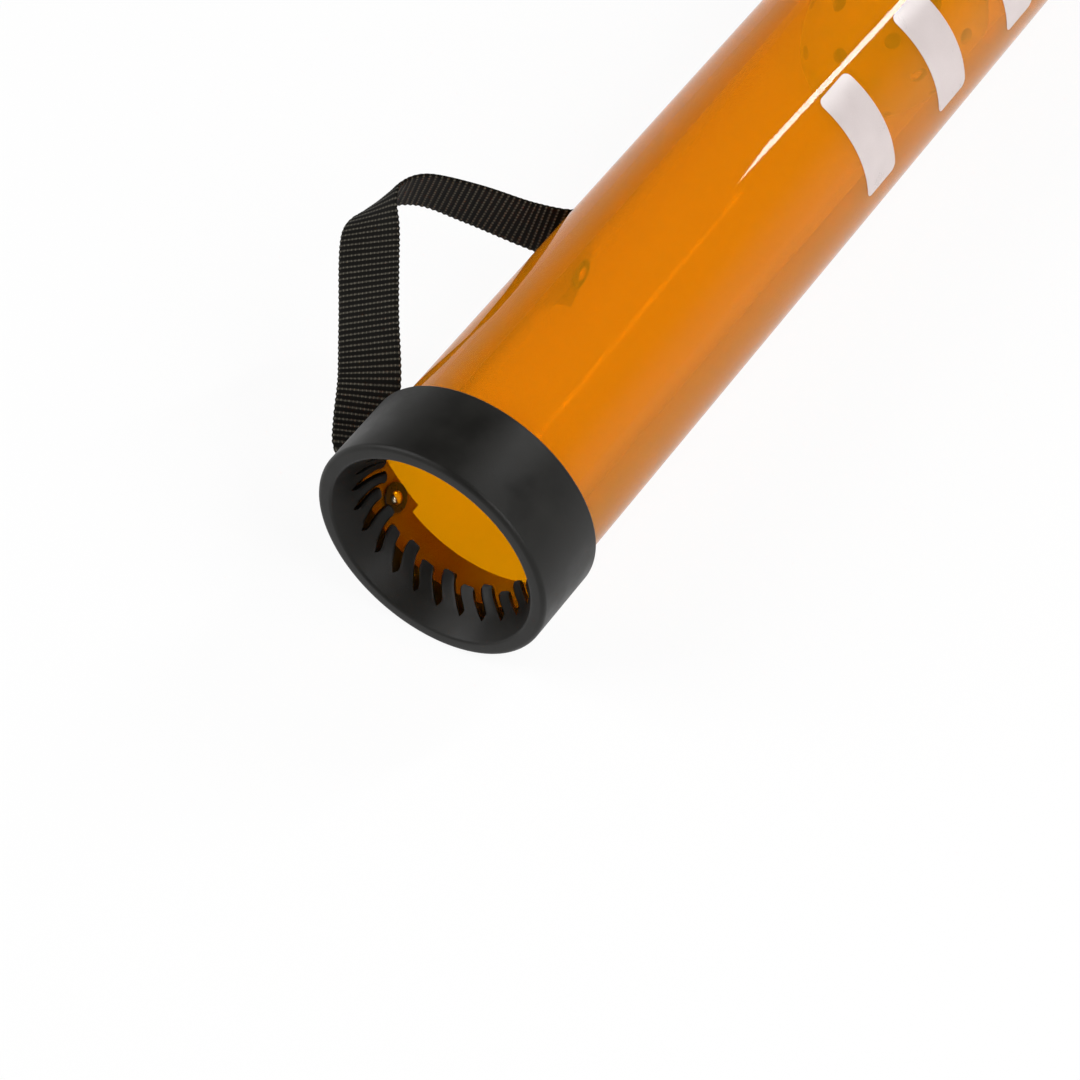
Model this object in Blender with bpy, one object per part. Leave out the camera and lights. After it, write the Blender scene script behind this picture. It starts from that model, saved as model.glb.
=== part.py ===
"""Ball-collecting tube for racket sports, lying on its side.

The clear tube runs along Y. Its open mouth faces -Y and has a rubber collar with inward fingers.
A webbing strap on the -X side is riveted to the mouth and to the wall further back. A push-on cap
closes the +Y end, and the origin is the centre of that cap's outer face. Units are metres.
Depth means the distance from the mouth plane towards the cap. Angles are degrees about the axis,
from +X towards +Z.
"""
import math

import bmesh
import bpy
from mathutils import Matrix, Vector

# Fits and facets
FIT_GAP = 0.0003
SIDES = 48
SMALL_SIDES = 16
SHARP_ANGLE = 35.0
MERGE_DISTANCE = 0.000001
ROUND_SHARE = 0.3

# Tube
OVERALL_LENGTH = 1.070
TUBE_OUTER_RADIUS = 0.0430
TUBE_WALL = 0.0020
TUBE_INNER_RADIUS = TUBE_OUTER_RADIUS - TUBE_WALL

# Mouth collar: a sleeve over the tube, a lip in front of it and a short skirt inside it
COLLAR_WALL = 0.0042
COLLAR_LENGTH = 0.0345
COLLAR_OUTER_RADIUS = TUBE_OUTER_RADIUS + FIT_GAP + COLLAR_WALL
COLLAR_ROUND = 0.0018
LIP_DEPTH = 0.0057
LIP_FACE_DEPTH = 0.0011
TUBE_FRONT_DEPTH = LIP_DEPTH + FIT_GAP
SKIRT_TOP_INSET = -0.0010
SKIRT_TOP_DEPTH = 0.0015
SKIRT_END_INSET = 0.0023
SKIRT_END_DEPTH = 0.0080
RUBBER_THICKNESS = 0.0018

# Fingers: two alternating lengths on one ring, leaning round the axis
FINGER_COUNT = 24
FIRST_ROOT_ANGLE = 168.0
FINGER_LEAN = -10.2
SHORT_FINGER_INWARD = 0.0058
SHORT_FINGER_DEPTH = 0.0098
LONG_FINGER_INWARD = 0.0078
LONG_FINGER_DEPTH = 0.0110
FINGER_ROOT_GAP = 0.0007
FINGER_TIP_THICKNESS = 0.0015
SLIT_ROOT_WIDTH = 0.0004
SLIT_WIDTH = 0.0033
SLIT_WIDEST_AT = 0.25
FINGER_ROUND_FROM = 0.90
FINGER_END_WIDTH_SHARE = 0.5
FINGER_STATIONS = (0.0, 0.12, 0.25, 0.45, 0.65, 0.82, 0.93, 1.0)

# Strap: two fixed tabs and the loop between them
STRAP_WIDTH = 0.0235
STRAP_THICKNESS = 0.0015
STRAP_GAP = 0.0014
LOWER_TAB_DEPTH = 0.0315
LOWER_TAIL_ANGLE = 226.0
LOWER_LEAVE_ANGLE = 199.0
LOWER_TAB_STEPS = 8
UPPER_LEAVE_DEPTH = 0.1575
UPPER_LEAVE_RADIUS = 0.0468
UPPER_LEAVE_ANGLE = 178.5
UPPER_LEAVE_SKEW = 56.0
UPPER_TAB = ((0.0040, 182.5, 50.0), (0.0080, 187.5, 44.0), (0.0152, 198.0, 36.0))
STRAP_REACH = 0.0530
STRAP_RISE = 0.0380
LOOP_STEPS = 4

# Rivets and washers
LOWER_RIVET_DEPTH = 0.0300
LOWER_RIVET_ANGLE = 210.0
UPPER_RIVET_RUN = 0.0107
UPPER_RIVET_DEPTH = UPPER_LEAVE_DEPTH + UPPER_RIVET_RUN
UPPER_RIVET_ANGLE = 191.5
RIVET_SHANK_RADIUS = 0.0020
RIVET_HEAD_RADIUS = 0.0040
RIVET_HEAD_HEIGHT = 0.0015
RIVET_DOME_RADIUS = 0.0027
RIVET_DOME_HEIGHT = 0.0012
WASHER_RADIUS = 0.0057
WASHER_THICKNESS = 0.0008
WASHER_LIFT = 0.0006
HEAD_FLAT_SHARE = 0.6
HEAD_SIDE_SHARE = 0.4
DOME_SHOULDER_RADIUS_SHARE = 0.8
DOME_SHOULDER_HEIGHT_SHARE = 0.65
DOME_FLAT_SHARE = 0.4
DRILL_REACH = COLLAR_OUTER_RADIUS * 1.3

# End cap
CAP_WALL = 0.0042
CAP_LENGTH = 0.0360
CAP_BASE = 0.0040
CAP_ROUND = 0.0018
CAP_OUTER_RADIUS = TUBE_OUTER_RADIUS + FIT_GAP + CAP_WALL
TUBE_END_DEPTH = OVERALL_LENGTH - CAP_BASE - FIT_GAP

# Ball
BALL_RADIUS = 0.0370
BALL_WALL = 0.0021
BALL_DEPTH = 0.3390
BALL_HOLES = 40
BALL_HOLE_RADIUS = 0.0032
BALL_HOLE_SIDES = 8
BALL_SEGMENTS = 24
BALL_RINGS = 14
BALL_DRILL_LENGTH = BALL_WALL * 6

# Looks: colour, roughness and metallic
CLEAR_ORANGE = ((0.68, 0.19, 0.004, 0.5), 0.08, 0.0)
RUBBER = ((0.018, 0.019, 0.020, 1.0), 0.6, 0.0)
WEBBING = ((0.010, 0.010, 0.010, 1.0), 0.8, 0.0)
BLACK_PLASTIC = ((0.010, 0.010, 0.010, 1.0), 0.4, 0.0)
STEEL = ((0.62, 0.58, 0.50, 1.0), 0.25, 1.0)
YELLOW = ((0.66, 0.86, 0.010, 1.0), 0.5, 0.0)

WEBBING_LIFT = FIT_GAP + STRAP_THICKNESS / 2


def polar(radius, depth, angle):
    """A point at a radius from the tube's axis, a depth behind the mouth and an angle."""
    turn = math.radians(angle)
    return Vector((radius * math.cos(turn), depth - OVERALL_LENGTH, radius * math.sin(turn)))


def outward(angle):
    turn = math.radians(angle)
    return Vector((math.cos(turn), 0.0, math.sin(turn)))


def around(angle):
    turn = math.radians(angle)
    return Vector((-math.sin(turn), 0.0, math.cos(turn)))


ALONG = Vector((0.0, 1.0, 0.0))


def clear_scene():
    for item in list(bpy.data.objects):
        bpy.data.objects.remove(item, do_unlink=True)


def plain_material(name, color, roughness, metallic):
    material = bpy.data.materials.new(name)
    material.use_nodes = True
    shader = material.node_tree.nodes["Principled BSDF"]
    shader.inputs["Base Color"].default_value = color
    shader.inputs["Alpha"].default_value = color[3]
    shader.inputs["Roughness"].default_value = roughness
    shader.inputs["Metallic"].default_value = metallic
    return material


def add_part(name, bm, look, pivot=Vector()):
    """Make a named object from a mesh given in world places, with its origin at the pivot."""
    color, roughness, metallic = look
    bmesh.ops.remove_doubles(bm, verts=bm.verts, dist=MERGE_DISTANCE)
    bmesh.ops.recalc_face_normals(bm, faces=bm.faces)
    bmesh.ops.translate(bm, verts=bm.verts, vec=-pivot)
    mesh = bpy.data.meshes.new(name)
    bm.to_mesh(mesh)
    bm.free()
    mesh.shade_smooth()
    mesh.set_sharp_from_angle(angle=math.radians(SHARP_ANGLE))
    part = bpy.data.objects.new(name, mesh)
    part.location = pivot
    bpy.context.collection.objects.link(part)
    part.data.materials.append(plain_material(name, color, roughness, metallic))
    return part


def turned(profile, sides, placing, solid_core=False):
    """Spin a (radius, height) outline about an axis. A solid core starts and ends on that axis."""
    bm = bmesh.new()
    first = math.pi / sides
    verts = [bm.verts.new((r * math.cos(first), r * math.sin(first), h)) for r, h in profile]
    edges = [bm.edges.new(pair) for pair in zip(verts, verts[1:])]
    if not solid_core:
        edges.append(bm.edges.new((verts[-1], verts[0])))
    bmesh.ops.spin(bm, geom=verts + edges, cent=(0, 0, 0), axis=(0, 0, 1), angle=2 * math.pi,
                   steps=sides, use_merge=True)
    bmesh.ops.remove_doubles(bm, verts=bm.verts, dist=MERGE_DISTANCE)
    bmesh.ops.transform(bm, matrix=placing, verts=bm.verts)
    return bm


def lofted(rings):
    """Skin a row of matching rings of points and close both ends."""
    bm = bmesh.new()
    loops = [[bm.verts.new(point) for point in ring] for ring in rings]
    for near, far in zip(loops, loops[1:]):
        for i, corner in enumerate(near):
            j = (i + 1) % len(near)
            bm.faces.new((corner, near[j], far[j], far[i]))
    bm.faces.new(loops[0])
    bm.faces.new(loops[-1])
    return bm


def cut(part, name, cutter_mesh):
    """Cut a part with a hidden wire object."""
    cutter = add_part(name, cutter_mesh, BLACK_PLASTIC)
    cutter.hide_render = True
    cutter.display_type = "WIRE"
    boolean = part.modifiers.new(name, "BOOLEAN")
    boolean.object = cutter
    boolean.operation = "DIFFERENCE"
    boolean.solver = "EXACT"


AXIS_PLACING = Matrix.Translation((0, -OVERALL_LENGTH, 0)) @ Matrix.Rotation(-math.pi / 2, 4, "X")


def radial_placing(depth, angle):
    """Local Z points out from the tube's axis at a depth and an angle."""
    turn = Matrix((ALONG, around(angle), outward(angle))).transposed().to_4x4()
    return Matrix.Translation(polar(0.0, depth, angle)) @ turn


def rivet_hole(depth, angle):
    radius = RIVET_SHANK_RADIUS + FIT_GAP
    inner = TUBE_INNER_RADIUS / 2
    return turned([(0, DRILL_REACH), (radius, DRILL_REACH), (radius, inner), (0, inner)], SMALL_SIDES,
                  radial_placing(depth, angle), solid_core=True)


def make_tube():
    profile = [(TUBE_OUTER_RADIUS, TUBE_END_DEPTH), (TUBE_OUTER_RADIUS, TUBE_FRONT_DEPTH),
               (TUBE_INNER_RADIUS, TUBE_FRONT_DEPTH), (TUBE_INNER_RADIUS, TUBE_END_DEPTH)]
    tube = add_part("tube", turned(profile, SIDES, AXIS_PLACING), CLEAR_ORANGE)
    cut(tube, "tube_lower_hole", rivet_hole(LOWER_RIVET_DEPTH, LOWER_RIVET_ANGLE))
    cut(tube, "tube_upper_hole", rivet_hole(UPPER_RIVET_DEPTH, UPPER_RIVET_ANGLE))


# The skirt's middle line in (radius, depth), from behind the lip to where the slits start
SKIRT_TOP = Vector((TUBE_INNER_RADIUS - SKIRT_TOP_INSET, SKIRT_TOP_DEPTH))
SKIRT_END = Vector((TUBE_INNER_RADIUS - SKIRT_END_INSET, SKIRT_END_DEPTH))


def skirt_side():
    """Half the rubber's thickness, square to the skirt, pointing towards the tube."""
    run = (SKIRT_END - SKIRT_TOP).normalized()
    return Vector((run.y, -run.x)) * (RUBBER_THICKNESS / 2)


def make_collar():
    side = skirt_side()
    outer_end = SKIRT_END + side
    inner_end = SKIRT_END - side
    inner_top = SKIRT_TOP - side
    sleeve_bore = TUBE_OUTER_RADIUS + FIT_GAP
    run = (SKIRT_END - SKIRT_TOP).normalized()
    to_lip = (LIP_DEPTH - outer_end.y) / run.y
    outer_top = outer_end + run * to_lip
    profile = [
        (COLLAR_OUTER_RADIUS, COLLAR_LENGTH - COLLAR_ROUND / 2),
        (COLLAR_OUTER_RADIUS, COLLAR_ROUND),
        (COLLAR_OUTER_RADIUS - COLLAR_ROUND * ROUND_SHARE, COLLAR_ROUND * ROUND_SHARE),
        (COLLAR_OUTER_RADIUS - COLLAR_ROUND, 0.0),
        (sleeve_bore - LIP_FACE_DEPTH / 2, 0.0),
        (inner_top.x, inner_top.y),
        (inner_end.x, inner_end.y),
        (outer_end.x, outer_end.y),
        (outer_top.x, outer_top.y),
        (sleeve_bore, LIP_DEPTH),
        (sleeve_bore, COLLAR_LENGTH),
        (COLLAR_OUTER_RADIUS - COLLAR_ROUND / 2, COLLAR_LENGTH),
    ]
    collar = add_part("mouth_collar", turned(profile, SIDES, AXIS_PLACING), RUBBER)
    cut(collar, "collar_hole", rivet_hole(LOWER_RIVET_DEPTH, LOWER_RIVET_ANGLE))


def slit_width(share):
    """The slit between two fingers: a point at its root that opens to an even gap."""
    opened = min(share / SLIT_WIDEST_AT, 1.0)
    return SLIT_ROOT_WIDTH + (SLIT_WIDTH - SLIT_ROOT_WIDTH) * math.sin(opened * math.pi / 2)


def finger_half_width(share, radius):
    pitch = 2 * math.pi * radius / FINGER_COUNT
    half = (pitch - slit_width(share)) / 2
    if share > FINGER_ROUND_FROM:
        past = (share - FINGER_ROUND_FROM) / (1 - FINGER_ROUND_FROM)
        half *= 1 - (1 - FINGER_END_WIDTH_SHARE) * past * past
    return half


def make_finger(index):
    is_long = index % 2 == 1
    inward = LONG_FINGER_INWARD if is_long else SHORT_FINGER_INWARD
    deeper = LONG_FINGER_DEPTH if is_long else SHORT_FINGER_DEPTH
    root_angle = FIRST_ROOT_ANGLE + index * 360 / FINGER_COUNT
    reach = Vector((-inward, deeper))
    run = reach.normalized()
    root = SKIRT_END + run * FINGER_ROOT_GAP
    tip = SKIRT_END + reach
    rings = []
    for share in FINGER_STATIONS:
        middle = root.lerp(tip, share)
        lean = FINGER_LEAN * share * share * (3 - 2 * share)
        half_angle = math.degrees(finger_half_width(share, middle.x) / middle.x)
        thickness = RUBBER_THICKNESS + (FINGER_TIP_THICKNESS - RUBBER_THICKNESS) * share
        side = Vector((run.y, -run.x)) * (thickness / 2)
        outer = middle + side
        inner = middle - side
        left = root_angle + lean - half_angle
        right = root_angle + lean + half_angle
        rings.append([polar(outer.x, outer.y, left), polar(outer.x, outer.y, right),
                      polar(inner.x, inner.y, right), polar(inner.x, inner.y, left)])
    pivot = polar(root.x, root.y, root_angle)
    add_part("finger_%02d" % (index + 1), lofted(rings), RUBBER, pivot)


def smooth_row(points, steps):
    """A smooth curve through points of any dimension, with a number of steps between each pair."""
    row = []
    last = len(points) - 1
    for i in range(last):
        before = points[max(i - 1, 0)]
        after = points[min(i + 2, last)]
        for k in range(steps):
            t = k / steps
            near = (points[i + 1] - before) / 2
            far = (after - points[i]) / 2
            row.append(points[i] * (2 * t**3 - 3 * t**2 + 1) + near * (t**3 - 2 * t**2 + t)
                       + points[i + 1] * (3 * t**2 - 2 * t**3) + far * (t**3 - t**2))
    row.append(points[last])
    return row


def run_at(centres, i):
    ahead = centres[min(i + 1, len(centres) - 1)]
    behind = centres[max(i - 1, 0)]
    return (ahead - behind).normalized()


def squared_to(centres, widths):
    """The width directions, each turned square to the strap's run."""
    runs = [run_at(centres, i) for i in range(len(centres))]
    return [width - run * width.dot(run) for width, run in zip(widths, runs)]


def webbing(centres, widths):
    """A flat strap along a row of centres, with its width along the given directions."""
    rings = []
    for i, centre in enumerate(centres):
        across = widths[i].normalized() * (STRAP_WIDTH / 2)
        face = run_at(centres, i).cross(across).normalized() * (STRAP_THICKNESS / 2)
        rings.append([centre + across + face, centre - across + face,
                      centre - across - face, centre + across - face])
    return lofted(rings)


LOWER_STRAP_RADIUS = COLLAR_OUTER_RADIUS + WEBBING_LIFT
UPPER_STRAP_RADIUS = TUBE_OUTER_RADIUS + WEBBING_LIFT
LOWER_LEAVE = polar(LOWER_STRAP_RADIUS, LOWER_TAB_DEPTH, LOWER_LEAVE_ANGLE)
UPPER_LEAVE = polar(UPPER_LEAVE_RADIUS, UPPER_LEAVE_DEPTH, UPPER_LEAVE_ANGLE)


def make_lower_tab():
    gap_angle = math.degrees(STRAP_GAP / LOWER_STRAP_RADIUS)
    start = LOWER_LEAVE_ANGLE + gap_angle
    span = LOWER_TAIL_ANGLE - start
    angles = [start + span * i / LOWER_TAB_STEPS for i in range(LOWER_TAB_STEPS + 1)]
    centres = [polar(LOWER_STRAP_RADIUS, LOWER_TAB_DEPTH, angle) for angle in angles]
    mesh = webbing(centres, [ALONG] * len(centres))
    tab = add_part("strap_tab_lower", mesh, WEBBING)
    cut(tab, "lower_tab_hole", rivet_hole(LOWER_RIVET_DEPTH, LOWER_RIVET_ANGLE))


def skewed_width(angle, skew):
    """A width direction on the tube's side, turned from the tube's run by a skew."""
    turn = math.radians(skew)
    return ALONG * math.cos(turn) - around(angle) * math.sin(turn)


def make_upper_tab():
    """Comes down onto the tube from the loop, and runs askew round it to the cut end."""
    stations = [Vector((UPPER_LEAVE_RADIUS, UPPER_LEAVE_DEPTH, UPPER_LEAVE_ANGLE))]
    widths = [skewed_width(UPPER_LEAVE_ANGLE, UPPER_LEAVE_SKEW)]
    for run, angle, skew in UPPER_TAB:
        stations.append(Vector((UPPER_STRAP_RADIUS, UPPER_LEAVE_DEPTH + run, angle)))
        widths.append(skewed_width(angle, skew))
    span = (polar(*stations[1]) - UPPER_LEAVE).length
    stations[0] = stations[0].lerp(stations[1], STRAP_GAP / span)
    centres = []
    for radius, depth, angle in smooth_row(stations, LOOP_STEPS):
        centres.append(polar(max(radius, UPPER_STRAP_RADIUS), depth, angle))
    mesh = webbing(centres, smooth_row(widths, LOOP_STEPS))
    tab = add_part("strap_tab_upper", mesh, WEBBING)
    cut(tab, "upper_tab_hole", rivet_hole(UPPER_RIVET_DEPTH, UPPER_RIVET_ANGLE))


# The loop's route from the lower tab to the upper one, as shares of its reach away from the tube,
# of the distance between the tabs and of its rise, each with the direction of its width
LOOP_ROUTE = (
    ((0.095, 0.02, 0.16), (0.10, 1.00, 0.00)),
    ((0.21, 0.10, 0.27), (0.62, 0.78, 0.00)),
    ((0.33, 0.20, 0.47), (0.84, 0.54, 0.05)),
    ((0.57, 0.35, 0.68), (0.88, 0.36, 0.22)),
    ((0.87, 0.545, 0.92), (0.76, 0.58, 0.28)),
    ((0.99, 0.645, 1.00), (0.66, 0.46, 0.59)),
    ((1.00, 0.73, 0.97), (0.55, 0.10, 0.83)),
    ((0.86, 0.82, 0.92), (0.35, -0.08, 0.93)),
    ((0.56, 0.89, 0.76), (0.33, 0.06, 0.94)),
    ((0.24, 0.955, 0.56), (0.30, 0.16, 0.94)),
)


def make_loop():
    span = UPPER_LEAVE.y - LOWER_LEAVE.y
    stretch = Vector((-STRAP_REACH, span, STRAP_RISE))
    points = [LOWER_LEAVE + stretch * Vector(shares) for shares, width in LOOP_ROUTE]
    start = LOWER_LEAVE + (points[0] - LOWER_LEAVE).normalized() * STRAP_GAP
    end = UPPER_LEAVE + (points[-1] - UPPER_LEAVE).normalized() * STRAP_GAP
    centres = smooth_row([start] + points + [end], LOOP_STEPS)
    last_width = skewed_width(UPPER_LEAVE_ANGLE, UPPER_LEAVE_SKEW)
    route_widths = [Vector(width) for shares, width in LOOP_ROUTE]
    widths = smooth_row([ALONG] + route_widths + [last_width], LOOP_STEPS)
    add_part("strap_loop", webbing(centres, squared_to(centres, widths)), WEBBING, LOWER_LEAVE)


def make_rivet(place, depth, angle, strap_radius):
    """A rivet with a flat head outside and a dome inside, and a washer under each."""
    placing = radial_placing(depth, angle)
    washer_sag = TUBE_INNER_RADIUS - math.sqrt(TUBE_INNER_RADIUS**2 - WASHER_RADIUS**2)
    inner_top = TUBE_INNER_RADIUS - washer_sag - FIT_GAP
    inner_bottom = inner_top - WASHER_THICKNESS
    dome_base = inner_bottom - FIT_GAP
    dome_tip = dome_base - RIVET_DOME_HEIGHT
    shoulder = dome_base - RIVET_DOME_HEIGHT * DOME_SHOULDER_HEIGHT_SHARE
    outer_bottom = strap_radius + STRAP_THICKNESS / 2 + WASHER_LIFT
    outer_top = outer_bottom + WASHER_THICKNESS
    head_base = outer_top + FIT_GAP
    head_top = head_base + RIVET_HEAD_HEIGHT
    hole = RIVET_SHANK_RADIUS + FIT_GAP
    shank = RIVET_SHANK_RADIUS
    profile = [
        (0.0, head_top),
        (RIVET_HEAD_RADIUS * HEAD_FLAT_SHARE, head_top),
        (RIVET_HEAD_RADIUS, head_base + RIVET_HEAD_HEIGHT * HEAD_SIDE_SHARE),
        (RIVET_HEAD_RADIUS, head_base),
        (shank, head_base),
        (shank, dome_base),
        (RIVET_DOME_RADIUS, dome_base),
        (RIVET_DOME_RADIUS * DOME_SHOULDER_RADIUS_SHARE, shoulder),
        (RIVET_DOME_RADIUS * DOME_FLAT_SHARE, dome_tip),
        (0.0, dome_tip),
    ]
    rivet = turned(profile, SMALL_SIDES, placing, solid_core=True)
    add_part("rivet_" + place, rivet, STEEL)
    for side, bottom, top in (("inner", inner_bottom, inner_top), ("outer", outer_bottom, outer_top)):
        ring = [(WASHER_RADIUS, top), (WASHER_RADIUS, bottom), (hole, bottom), (hole, top)]
        washer = turned(ring, SMALL_SIDES, placing)
        add_part("washer_%s_%s" % (side, place), washer, BLACK_PLASTIC)


def make_cap():
    bore = TUBE_OUTER_RADIUS + FIT_GAP
    rim = OVERALL_LENGTH - CAP_LENGTH
    floor = OVERALL_LENGTH - CAP_BASE
    profile = [
        (0.0, OVERALL_LENGTH),
        (CAP_OUTER_RADIUS - CAP_ROUND, OVERALL_LENGTH),
        (CAP_OUTER_RADIUS - CAP_ROUND * ROUND_SHARE, OVERALL_LENGTH - CAP_ROUND * ROUND_SHARE),
        (CAP_OUTER_RADIUS, OVERALL_LENGTH - CAP_ROUND),
        (CAP_OUTER_RADIUS, rim + CAP_ROUND / 2),
        (CAP_OUTER_RADIUS - CAP_ROUND / 2, rim),
        (bore, rim),
        (bore, floor),
        (0.0, floor),
    ]
    cap = turned(profile, SIDES, AXIS_PLACING, solid_core=True)
    add_part("end_cap", cap, RUBBER, polar(0.0, OVERALL_LENGTH, 0.0))


def make_ball():
    centre = polar(TUBE_INNER_RADIUS - BALL_RADIUS - FIT_GAP, BALL_DEPTH, -90.0)
    shell = bmesh.new()
    outer = bmesh.ops.create_uvsphere(shell, u_segments=BALL_SEGMENTS, v_segments=BALL_RINGS,
                                      radius=BALL_RADIUS)
    bmesh.ops.translate(shell, verts=outer["verts"], vec=centre)
    ball = add_part("ball", shell, YELLOW, centre)
    hollow = bmesh.new()
    inner = bmesh.ops.create_uvsphere(hollow, u_segments=BALL_SEGMENTS, v_segments=BALL_RINGS,
                                      radius=BALL_RADIUS - BALL_WALL)
    bmesh.ops.translate(hollow, verts=inner["verts"], vec=centre)
    cut(ball, "ball_hollow", hollow)
    cut(ball, "ball_holes", ball_drills(centre))


def ball_drills(centre):
    """Short rods through the ball's wall, spread evenly by the golden angle."""
    rods = bmesh.new()
    golden = math.pi * (3 - math.sqrt(5))
    for i in range(BALL_HOLES):
        height = 1 - (2 * i + 1) / BALL_HOLES
        ring = math.sqrt(1 - height * height)
        way = Vector((ring * math.cos(golden * i), ring * math.sin(golden * i), height))
        turn = way.to_track_quat("Z", "Y").to_matrix().to_4x4()
        place = Matrix.Translation(centre + way * BALL_RADIUS) @ turn
        bmesh.ops.create_cone(rods, cap_ends=True, segments=BALL_HOLE_SIDES, depth=BALL_DRILL_LENGTH,
                              radius1=BALL_HOLE_RADIUS, radius2=BALL_HOLE_RADIUS, matrix=place)
    return rods


def main():
    clear_scene()
    make_tube()
    make_collar()
    for index in range(FINGER_COUNT):
        make_finger(index)
    make_lower_tab()
    make_loop()
    make_upper_tab()
    make_rivet("lower", LOWER_RIVET_DEPTH, LOWER_RIVET_ANGLE, LOWER_STRAP_RADIUS)
    make_rivet("upper", UPPER_RIVET_DEPTH, UPPER_RIVET_ANGLE, UPPER_STRAP_RADIUS)
    make_cap()
    make_ball()


main()
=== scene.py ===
"""Looks of a clear ball-collecting tube that lies on its side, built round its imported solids.

Metres, in the frame of the solids: the tube runs along Y, and its mouth faces -Y. Depth is the
distance from the mouth plane into the tube. Angles are degrees about the tube's axis, from +X to +Z.
"""
import math

import bmesh
import bpy
from mathutils import Matrix, Vector


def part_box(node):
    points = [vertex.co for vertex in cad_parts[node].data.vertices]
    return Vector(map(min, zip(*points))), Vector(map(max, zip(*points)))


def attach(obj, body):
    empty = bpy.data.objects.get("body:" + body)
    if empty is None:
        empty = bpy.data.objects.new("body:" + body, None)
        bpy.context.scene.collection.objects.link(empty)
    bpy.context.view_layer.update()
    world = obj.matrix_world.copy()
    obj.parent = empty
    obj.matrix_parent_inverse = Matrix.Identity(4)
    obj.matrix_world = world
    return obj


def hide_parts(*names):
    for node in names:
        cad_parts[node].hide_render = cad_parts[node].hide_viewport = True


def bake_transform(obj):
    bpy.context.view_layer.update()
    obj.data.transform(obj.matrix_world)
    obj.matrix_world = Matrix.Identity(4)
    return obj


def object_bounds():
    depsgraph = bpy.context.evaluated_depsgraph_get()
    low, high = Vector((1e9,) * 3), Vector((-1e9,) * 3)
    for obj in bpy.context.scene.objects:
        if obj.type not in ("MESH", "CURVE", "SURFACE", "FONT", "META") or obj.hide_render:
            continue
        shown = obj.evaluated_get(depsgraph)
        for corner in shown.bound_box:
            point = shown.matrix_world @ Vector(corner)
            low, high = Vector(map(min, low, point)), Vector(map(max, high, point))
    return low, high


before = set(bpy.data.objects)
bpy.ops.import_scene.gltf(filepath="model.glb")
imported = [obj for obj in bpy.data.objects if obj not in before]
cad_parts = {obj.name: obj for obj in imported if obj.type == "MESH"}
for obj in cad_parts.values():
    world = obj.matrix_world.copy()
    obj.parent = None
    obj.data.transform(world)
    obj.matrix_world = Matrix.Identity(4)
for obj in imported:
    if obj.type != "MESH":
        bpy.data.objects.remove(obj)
CAD_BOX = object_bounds()

# Places read from the solids
MOUTH_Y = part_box("mouth_collar")[0].y
CAP_FACE_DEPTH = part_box("end_cap")[1].y - MOUTH_Y
CAP_RIM_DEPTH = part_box("end_cap")[0].y - MOUTH_Y
COLLAR_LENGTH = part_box("mouth_collar")[1].y - MOUTH_Y
TUBE_FRONT_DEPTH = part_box("tube")[0].y - MOUTH_Y
TUBE_BACK_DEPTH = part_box("tube")[1].y - MOUTH_Y
FLOOR_Z = CAD_BOX[0].z
BALL_LOW, BALL_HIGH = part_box("ball")

# Meshing
MERGE_DISTANCE = 0.000001
SHARP_ANGLE = math.radians(40)
TURN_STEPS = 192
SMALL_STEPS = 40
BROAD_EDGE_STEPS = 8
RIM_EDGE_STEPS = 5
SMALL_EDGE_STEPS = 4
TUBE_EDGE_STEPS = 3

# Gaps between pieces
SNUG_GAP = 0.0002
CLEARANCE = 0.0003

# Tube and collar
TUBE_RADIUS = 0.0430
TUBE_WALL = 0.0020
TUBE_BORE = TUBE_RADIUS - TUBE_WALL
TUBE_EDGE = 0.0004
COLLAR_RADIUS = 0.0475
COLLAR_FRONT_EDGE = 0.0020
COLLAR_BACK_EDGE = 0.0009
COLLAR_LIP_EDGE = 0.0015
SLEEVE_BORE = TUBE_RADIUS + SNUG_GAP
# Liner: a dark rubber layer against the tube's bore behind the finger roots, standing in for the shade
# there, so the slits look dark
SHADE_LINER_RADIUS = TUBE_BORE - SNUG_GAP
SHADE_LINER_BORE = 0.0402
SHADE_LINER_FRONT = 0.0092
SHADE_LINER_BACK = 0.0180
ALONG = Vector((0.0, 1.0, 0.0))

# Fingers. The skirt's points and the fingers' reaches are (radius, depth)
FINGER_COUNT = 24
FIRST_ROOT_ANGLE = 168.0
FINGER_LEAN = -10.2
RUBBER_THICKNESS = 0.0018
FINGER_TIP_THICKNESS = 0.0015
SKIRT_TOP = Vector((0.0420, 0.0015))
SKIRT_END = Vector((0.0387, 0.0080))
SKIRT_RUN = (SKIRT_END - SKIRT_TOP).normalized()
FINGER_REACHES = (Vector((-0.0058, 0.0098)), Vector((-0.0078, 0.0110)))
SLIT_ROOT_WIDTH = 0.0003
SLIT_WIDTH = 0.0034
SLIT_WIDEST_AT = 0.28
FINGER_COLUMNS = 8
FINGER_ROWS = 28
FINGER_KNEE_SHARE = 0.45
FINGER_ROUND_FROM = 0.92
FINGER_TIP_ROUND = 0.0010
FINGER_NUDGE = 0.01
FINGER_EASE = 0.0003
FINGER_EASE_STEPS = 2
FINGER_EASE_FROM = 0.0012
FINGER_SHARP = math.radians(60)

# Strap
STRAP_WIDTH = 0.0235
STRAP_THICKNESS = 0.0015
STRAP_LIFT = CLEARANCE + STRAP_THICKNESS / 2
LOWER_STRAP_RADIUS = COLLAR_RADIUS + STRAP_LIFT
UPPER_STRAP_RADIUS = TUBE_RADIUS + STRAP_LIFT
LOWER_TAB_DEPTH = 0.0315
LOWER_TAIL_ANGLE = 226.0
LOWER_LEAVE_ANGLE = 199.0
LOWER_TAB_STEPS = 8
UPPER_LEAVE_DEPTH = 0.1575
UPPER_LEAVE_RADIUS = 0.0468
UPPER_LEAVE_ANGLE = 178.5
UPPER_LEAVE_SKEW = 78.0
# Each is the run past the leave depth, the angle and the skew of the strap's width
UPPER_TAB = ((0.0040, 182.5, 64.0), (0.0080, 187.5, 52.0), (0.0152, 198.0, 36.0))
STRAP_REACH = 0.0530
STRAP_RISE = 0.0380
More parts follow.
